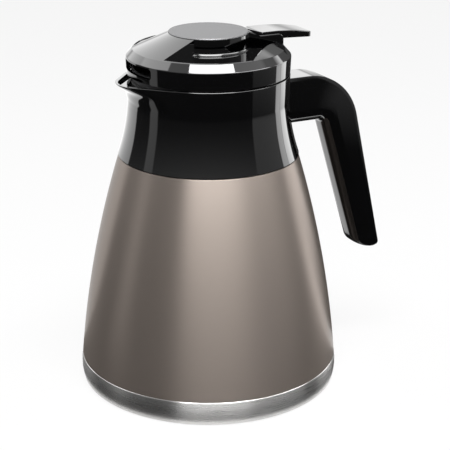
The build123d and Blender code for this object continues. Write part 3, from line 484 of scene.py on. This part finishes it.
def keel_reach(depth):
    """Reach of the spout's keel at a depth below the rim, on a smooth line through the measured places."""
    stages = spout_keel
    for index in range(len(stages) - 1):
        (d0, r0), (d1, r1) = stages[index], stages[index + 1]
        if depth <= d1:
            before = stages[max(index - 1, 0)]
            after = stages[min(index + 2, len(stages) - 1)]
            slope0 = (r1 - before[1]) / (d1 - before[0])
            slope1 = (after[1] - r0) / (after[0] - d0)
            share = (depth - d0) / (d1 - d0)
            span = d1 - d0
            return ((2 * share**3 - 3 * share**2 + 1) * r0 + (share**3 - 2 * share**2 + share) * span * slope0
                    + (3 * share**2 - 2 * share**3) * r1 + (share**3 - share**2) * span * slope1)
    return None


for vertex in collar.data.vertices:
    place = vertex.co
    radius = math.hypot(place.x, place.y)
    turn = math.atan2(place.y, -place.x)
    depth = max(rim_height - place.z, 0)
    if abs(turn) > spout_root or depth > spout_keel[-1][0]:
        continue
    outside = waist_radius + rim_growth * (place.z - waist_height) / (rim_height - waist_height)
    if radius > rim_radius - 0.0009:
        grown = radius + max(plan_radius(turn, outside, keel_reach(depth)) - outside, 0)
    elif place.z > trough_floor - 0.000005:
        grown = radius + plan_radius(turn, bore_radius, spout_keel[0][1] - spout_lip) - bore_radius
    else:
        continue
    place.x = -grown * math.cos(turn)
    place.y = grown * math.sin(turn)
    if place.z > trough_floor + 0.0001:
        fall = max(0.0, -place.x - drop_start) / drop_length * spout_drop
        place.z -= fall * (place.z - trough_floor) / (rim_height - trough_floor)

gloss_black, black_tree, black_shader = new_material("gloss_black", (0.0006, 0.0006, 0.0008), 0.0, 0.035)
black_shader.inputs["IOR"].default_value = 1.7
black_tree.links.new(grain(black_tree, 400, 0.025, 0.045), black_shader.inputs["Roughness"])
finish_piece(collar, gloss_black, 35)
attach(collar, "carafe")
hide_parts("collar")

# Handle. Two gloss black mouldings that meet along a line down each side: a back with flat faces
# and bevelled edges, and a rounded front cover towards the body.
handle_half = 0.0105
handle_nose = 0.0085
handle_top = 0.185
handle_under = 0.1553
handle_low = 0.0675
front_slope = 26.7 / 87.8
back_slope = 26.7 / 117.5
crest_drop = 0.0023
crest_width = 0.001
grip_wall = 0.0024
parting = 0.009
cover_end = 0.014


def front_at(height, depth=0.0):
    """Reach of the grip's front at a height, moved into the grip by a depth."""
    return 0.075 + front_slope * (handle_under - height) + depth * math.hypot(1, front_slope)


def back_at(height, depth=0.0):
    """Reach of the grip's back at a height, moved into the grip by a depth."""
    return 0.0915 + back_slope * (handle_top - height) - depth * math.hypot(1, back_slope)


def handle_outline(inset, front, back):
    """Side view of the handle, moved inwards by an inset and further at its front and back."""
    top = handle_top - inset - back
    under = handle_under + inset + front
    low = handle_low + inset
    start = 0.04 if inset == 0 else 0.053
    return softened([
        (start, top, 0), (back_at(top, inset + back), top, 0.036 - inset - back),
        (back_at(low, inset + back), low, 0.002), (front_at(low, inset + front), low, 0.0095 - inset - front),
        (front_at(under, inset + front), under, 0.004 + inset + front), (start, under, 0)], steps=16)


def handle_form(name, inset=0.0, crest=crest_drop):
    """Solid form of the handle, bridged through outlines from one side to the other."""
    half = handle_half - inset
    nose = handle_nose - inset
    shares = [1.0, 1 - crest_width / nose]
    shares += [shares[1] * math.cos(math.pi / 2 * step / 9) for step in range(1, 10)]
    halves = []
    for share in shares:
        front = nose * (1 - math.sqrt(1 - share**2))
        back = crest if share == 1.0 else 0.0
        halves.append((half - nose * (1 - share), handle_outline(inset, front, back)))
    layers = []
    for offset, outline in [(-offset, outline) for offset, outline in halves] + halves[::-1]:
        layer = draw_outline("layer", outline)
        for vertex in layer.data.vertices:
            vertex.co.y = offset
        layers.append(layer)
    for layer in layers:
        layer.select_set(True)
    bpy.context.view_layer.objects.active = layers[0]
    bpy.ops.object.join()
    form = bpy.context.object
    form.name = name
    form.data.name = name
    bpy.ops.object.mode_set(mode="EDIT")
    bpy.ops.mesh.select_all(action="SELECT")
    bpy.ops.mesh.bridge_edge_loops()
    bpy.ops.mesh.select_all(action="SELECT")
    bpy.ops.mesh.fill_holes(sides=0)
    bpy.ops.mesh.select_all(action="SELECT")
    bpy.ops.mesh.normals_make_consistent(inside=False)
    bpy.ops.object.mode_set(mode="OBJECT")
    return form


def prism(name, outline, low, high, upright=True):
    """Straight-sided block from an outline, between two places along Y, or along Z when it isn't upright."""
    block = draw_outline(name, outline, upright, filled=True)
    for vertex in block.data.vertices:
        vertex.co += Vector((0, low, 0) if upright else (0, 0, low))
    span = (0, high - low, 0) if upright else (0, 0, high - low)
    bpy.ops.object.mode_set(mode="EDIT")
    bpy.ops.mesh.select_all(action="SELECT")
    bpy.ops.mesh.extrude_region_move(TRANSFORM_OT_translate={"value": span})
    bpy.ops.mesh.select_all(action="SELECT")
    bpy.ops.mesh.normals_make_consistent(inside=False)
    bpy.ops.object.mode_set(mode="OBJECT")
    return block


def combine(piece, other, operation, keep=False):
    """Boolean of two closed forms, applied; the other form is deleted unless it is kept."""
    modifier = piece.modifiers.new("combine", "BOOLEAN")
    modifier.operation = operation
    modifier.solver = "EXACT"
    modifier.object = other
    apply_modifier(piece, modifier)
    if not keep:
        bpy.data.objects.remove(other)


def copied(piece, name):
    """Copy of a piece with its own mesh."""
    copy = piece.copy()
    copy.data = piece.data.copy()
    copy.name = name
    copy.data.name = name
    bpy.context.scene.collection.objects.link(copy)
    return copy


grip = handle_form("grip_shell")
combine(grip, handle_form("cavity", grip_wall, 0.0), "DIFFERENCE")
seat = turned("seat", [
    *flare, *upper, (rim_radius, rim_height), (0.0, rim_height), (0.0, collar_foot)], steps=360)
combine(grip, seat, "DIFFERENCE")
grip_cover = copied(grip, "grip_cover")
cover_high = handle_under + parting
cover_low = handle_low + cover_end
cover_reach = front_at(cover_low) - handle_nose
zone = prism("zone", [
    (0.0, cover_high), (front_at(cover_high, parting), cover_high), (front_at(cover_low, parting), cover_low),
    (cover_reach, cover_low), (cover_reach, 0.04), (0.15, 0.04), (0.15, 0.2), (0.0, 0.2)], -0.02, 0.02)
combine(grip, zone, "INTERSECT", keep=True)
combine(grip_cover, zone, "DIFFERENCE")
for half_grip in (grip, grip_cover):
    finish_piece(half_grip, gloss_black, 28)
    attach(half_grip, "carafe")
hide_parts("handle_shell")
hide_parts("handle_cover")

# Lid. One gloss black moulding: a skirt with the pouring slot, a chamfered crown, a hub for the disc,
# a finger scoop on each side and the housing in which the thumb lever tips.
skirt_low = 0.1927
crown_low, crown_high = 0.203, 0.2073
crown_radius, hub_radius = 0.0447, 0.0234
disc_low = 0.2162
lid_radius, lid_roof = 0.0486, 0.2036
above_lid = 0.225
scoop_floor, scoop_fillet, scoop_reach = 0.2071, 0.0016, 0.0439
scoop_root = hub_radius + 0.0003
housing_side = 0.0121
housing_front, housing_rear, housing_low, housing_high = 0.0219, 0.0437, 0.2038, 0.2135
rear_rounding = 0.0011


def soften_edges(piece, width, angle=30, segments=2):
    """Small bevel along the sharp edges of a piece."""
    modifier = piece.modifiers.new("soften", "BEVEL")
    modifier.width = width
    modifier.segments = segments
    modifier.limit_method = "ANGLE"
    modifier.angle_limit = math.radians(angle)
    modifier.use_clamp_overlap = True
    apply_modifier(piece, modifier)


def round_rear_edge(piece, outer, inner):
    """Rounds the edge where the crown breaks off into the scoop at its rear."""
    normal = Vector((outer.y - inner.y, inner.x - outer.x, 0)).normalized()
    fall = (disc_low - crown_high) / (crown_radius - hub_radius)
    on_edge = set()
    for vertex in piece.data.vertices:
        place = vertex.co
        crown = crown_high + (crown_radius - math.hypot(place.x, place.y)) * fall
        if place.y * outer.y > 0 and abs((place - outer).dot(normal)) < 2e-5 and abs(place.z - crown) < 2e-4:
            on_edge.add(vertex.index)
    select_only(piece)
    bpy.ops.object.mode_set(mode="EDIT")
    bpy.ops.mesh.select_mode(type="EDGE")
    bpy.ops.mesh.select_all(action="DESELECT")
    bpy.ops.object.mode_set(mode="OBJECT")
    for edge in piece.data.edges:
        edge.select = all(index in on_edge for index in edge.vertices)
    bpy.ops.object.mode_set(mode="EDIT")
    bpy.ops.mesh.bevel(offset=rear_rounding, segments=4, affect="EDGES", clamp_overlap=False)
    bpy.ops.mesh.select_mode(type="VERT")
    bpy.ops.object.mode_set(mode="OBJECT")


lid = turned("lid_cap", softened([
    (0.0482, skirt_low, 0.0004), (lid_radius, crown_low, 0.0012), (crown_radius, crown_high, 0.0006),
    (hub_radius + 0.0002, disc_low, 0.0002), (0.0214, disc_low, 0), (0.0214, 0.207, 0), (0.0244, 0.207, 0),
    (crown_radius, lid_roof, 0), (0.0466, lid_roof, 0), (0.0462, skirt_low, 0.0003)], steps=8), steps=256)
housing_outline = softened([
    (housing_front, housing_low, 0), (housing_front, housing_high, 0),
    (housing_rear, housing_high, 0.0035), (housing_rear, housing_low, 0)], steps=10)
housing = prism("housing", housing_outline, -housing_side, housing_side)
soften_edges(housing, 0.0007, segments=3)
combine(lid, housing, "UNION")
for side in (-1, 1):
    scoop = turned("scoop", softened([
        (scoop_root, scoop_floor, scoop_fillet), (scoop_reach, scoop_floor, 0), (scoop_reach, above_lid, 0),
        (scoop_root, above_lid, 0)], steps=12), steps=256)
    front_inner, front_outer = Vector((-0.0164, side * 0.0163, 0)), Vector((-0.038, side * 0.0212, 0))
    rear_outer, rear_inner = Vector((0.0065, side * 0.0429, 0)), Vector((0.0391, side * housing_side, 0))
    scoop_middle = Vector((0.0, side * 0.032, 0))
    cuts = ((front_inner, front_outer - front_inner), (rear_outer, rear_inner - rear_outer),
            (Vector((0, side * (housing_side + 0.00002), 0)), Vector((1, 0, 0))))
    bpy.ops.object.mode_set(mode="EDIT")
    for place, along in cuts:
        normal = Vector((-along.y, along.x, 0)).normalized()
        if (scoop_middle - place).dot(normal) > 0:
            normal = -normal
        bpy.ops.mesh.select_all(action="SELECT")
        bpy.ops.mesh.bisect(plane_co=place, plane_no=normal, use_fill=True, clear_outer=True)
    bpy.ops.mesh.select_all(action="SELECT")
    bpy.ops.mesh.normals_make_consistent(inside=False)
    bpy.ops.object.mode_set(mode="OBJECT")
    combine(lid, scoop, "DIFFERENCE")
    round_rear_edge(lid, rear_outer, rear_inner)

lever_nib, lever_half, lever_gap = 0.0012, 0.010, 0.0003
lever_apex, lever_shoulder, lever_tip = 0.024, 0.0305, 0.064
well_half = 0.0103


def lever_plan(grow):
    """Plan of the lever's paddle grown by a gap: a blunt nose towards the disc and straight sides."""
    nib, half = lever_nib + grow, lever_half + grow
    apex, shoulder, tip = lever_apex - grow, lever_shoulder - grow, lever_tip + grow
    return [(apex, -nib), (apex, nib), (shoulder, half), (tip, half), (tip, -half), (shoulder, -half)]


def box_cutter(low, high):
    """Square block between two corners."""
    left, near, bottom = low
    right, far, top = high
    return prism("block", [(left, bottom), (right, bottom), (right, top), (left, top)], near, far)


combine(lid, prism("opening", lever_plan(lever_gap), 0.2105, above_lid, upright=False), "DIFFERENCE")
combine(lid, box_cutter((0.0194, -well_half, 0.2030), (0.0419, well_half, 0.21051)), "DIFFERENCE")
combine(lid, box_cutter((0.0405, -well_half, 0.2084), (0.07, well_half, 0.2251)), "DIFFERENCE")
slot_half = lid_radius * math.sin(math.radians(22))
slot_low, slot_high, slot_rounding = 0.1962, 0.2022, 0.0016
slot_inner, slot_outer = 0.0346, 0.0506
slot = prism("slot", softened([
    (-slot_half, slot_low, slot_rounding), (slot_half, slot_low, slot_rounding),
    (slot_half, slot_high, slot_rounding), (-slot_half, slot_high, slot_rounding)]), slot_inner, slot_outer)
for vertex in slot.data.vertices:
    vertex.co = (-vertex.co.y, vertex.co.x, vertex.co.z)
combine(lid, slot, "DIFFERENCE")
finish_piece(lid, gloss_black, 18)
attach(lid, "lid")
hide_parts("lid_shell")

# Lid disc. A satin metal plate on the hub, turned with a narrow bright chamfer round its edge.
disc_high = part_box("lid_disc")[1].z
disc_radius = 0.0235
recess_radius, disc_under = 0.0213, disc_low - 0.0008
lid_disc = turned("lid_plate", [
    (0.0, disc_under), (recess_radius, disc_under), (recess_radius, disc_low),
    (disc_radius - 0.0001, disc_low), (disc_radius, disc_low + 0.0001), (disc_radius, disc_high - 0.0004),
    (disc_radius - 0.0004, disc_high), (0.0, disc_high)], steps=256)
satin, satin_tree, satin_shader = new_material("satin_disc", (0.15, 0.15, 0.153), 0.8, 0.42)
satin_shader.inputs["Specular Tint"].default_value = (0.6, 0.6, 0.6, 1)
satin_tree.links.new(grain(satin_tree, 1800, 0.38, 0.46), satin_shader.inputs["Roughness"])
finish_piece(lid_disc, satin)
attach(lid_disc, "lid")
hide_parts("lid_disc")

# Thumb lever. Gloss black paddle with a blunt nose behind the disc, a slope towards its tip,
# a boss on the pin and an arm that reaches in to the valve stem.
lever = prism("thumb_lever", [
    (lever_apex, 0.2122), (lever_apex, 0.2162), (lever_shoulder, 0.2149), (0.041, 0.2149),
    (0.053, 0.2141), (lever_tip, 0.2123), (lever_tip, 0.2092), (0.0465, 0.210),
    (lever_shoulder, 0.210)], -lever_half, lever_half)
tip_rounding = 0.0025
paddle = [(x, y, tip_rounding if x > lever_shoulder else 0) for x, y in lever_plan(0.0)]
combine(lever, prism("plan", softened(paddle, steps=8), 0.2, 0.23, upright=False), "INTERSECT")
soften_edges(lever, 0.0005, segments=3)
pivot_reach, pivot_height = 0.037, 0.2084
pin_bore_radius, boss_radius, boss_high = 0.00155, 0.0032, 0.2102
arm_low, arm_high, arm_half, fork_half = 0.2039, 0.2065, 0.005, 0.0024


def pivot_ring(name, radius):
    """Round bar along Y on the lever's pivot, as wide as the paddle."""
    turns = [2 * math.pi * step / 48 for step in range(48)]
    return prism(name, [(pivot_reach + radius * math.cos(turn), pivot_height + radius * math.sin(turn))
                        for turn in turns], -lever_half, lever_half)


combine(lever, pivot_ring("boss", boss_radius), "UNION")
combine(lever, box_cutter((pivot_reach - boss_radius, -0.00999, pivot_height),
                          (pivot_reach + boss_radius, 0.00999, boss_high)), "UNION")
combine(lever, prism("arm", softened([
    (-0.003, arm_low, 0.0003), (pivot_reach, arm_low, 0), (pivot_reach, boss_high, 0), (0.029, boss_high, 0),
    (0.029, arm_high, 0.0005), (-0.003, arm_high, 0.0003)]), -arm_half, arm_half), "UNION")
combine(lever, box_cutter((-0.004, -fork_half, 0.203), (fork_half, fork_half, 0.208)), "DIFFERENCE")
combine(lever, pivot_ring("pin_bore", pin_bore_radius), "DIFFERENCE")
finish_piece(lever, gloss_black, 30)
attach(lever, "lever")
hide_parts("lever")

# Inner pieces. They keep the forms of the frame and get the finishes of their moulded, turned
# or drawn originals: matt black mouldings, plain steel, grey silicone and black rubber.
matt_black, matt_tree, matt_shader = new_material("matt_black", (0.03, 0.03, 0.032), 0.0, 0.5)
matt_tree.links.new(grain(matt_tree, 700, 0.42, 0.6), matt_shader.inputs["Roughness"])
silicone, silicone_tree, silicone_shader = new_material("grey_silicone", (0.5, 0.5, 0.48), 0.0, 0.6)
silicone_tree.links.new(grain(silicone_tree, 500, 0.5, 0.7), silicone_shader.inputs["Roughness"])
screw_steel, screw_tree, screw_shader = new_material("screw_steel", (0.55, 0.55, 0.55), 1.0, 0.3)
screw_tree.links.new(grain(screw_tree, 900, 0.22, 0.38), screw_shader.inputs["Roughness"])
getter_grey, getter_tree, getter_shader = new_material("getter_grey", (0.2, 0.19, 0.18), 0.4, 0.7)
getter_tree.links.new(grain(getter_tree, 1500, 0.6, 0.8), getter_shader.inputs["Roughness"])
slot_finish = {
    "lacquer": lacquer, "steel": steel, "screw_steel": screw_steel, "disc_metal": satin,
    "getter": getter_grey, "black_plastic": gloss_black, "inner_plastic": matt_black, "rubber": rubber,
    "silicone": silicone}
for row in frame["record"]["subparts"]:
    node = frame["nodes"][row["node"]]
    node.data.materials.clear()
    node.data.materials.append(slot_finish[row["material_slot"]])
